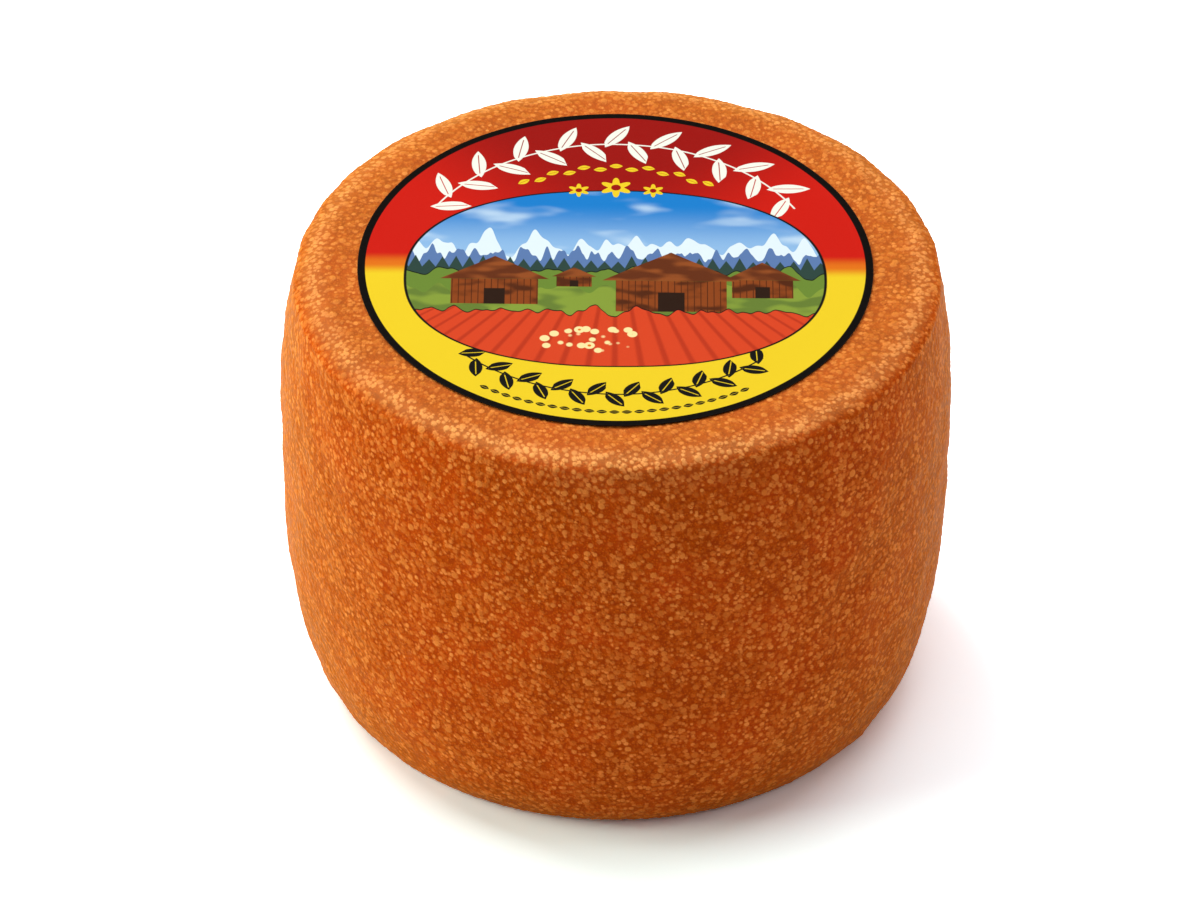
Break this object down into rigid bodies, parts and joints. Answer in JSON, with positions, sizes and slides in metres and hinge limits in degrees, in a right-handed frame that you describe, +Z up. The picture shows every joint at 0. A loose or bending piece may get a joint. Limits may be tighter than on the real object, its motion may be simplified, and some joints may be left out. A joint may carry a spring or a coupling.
{
  "type": "tete de moine cheese",
  "caption": "Whole uncut drum of washed-rind mountain cheese with a pebbled orange-brown rind and a round printed paper label on top.",
  "frame": {"origin": "centre of the underside of the flat foot", "axes": "+Z up through the height of the drum; the lower edge of the label faces -Y"},
  "size_m": [0.1154, 0.1134, 0.0824],
  "materials": {
    "washed_rind": "Orange-brown washed rind, packed with low round pebbles, slightly moist with a soft sheen.",
    "label_paper": "Smooth printed paper with a dark rim, red above and yellow below, and a plain picture of hills."
  },
  "bodies": {
    "root": {"cheese_wheel": "washed_rind", "paper_label": "label_paper"}
  },
  "joints": []
}
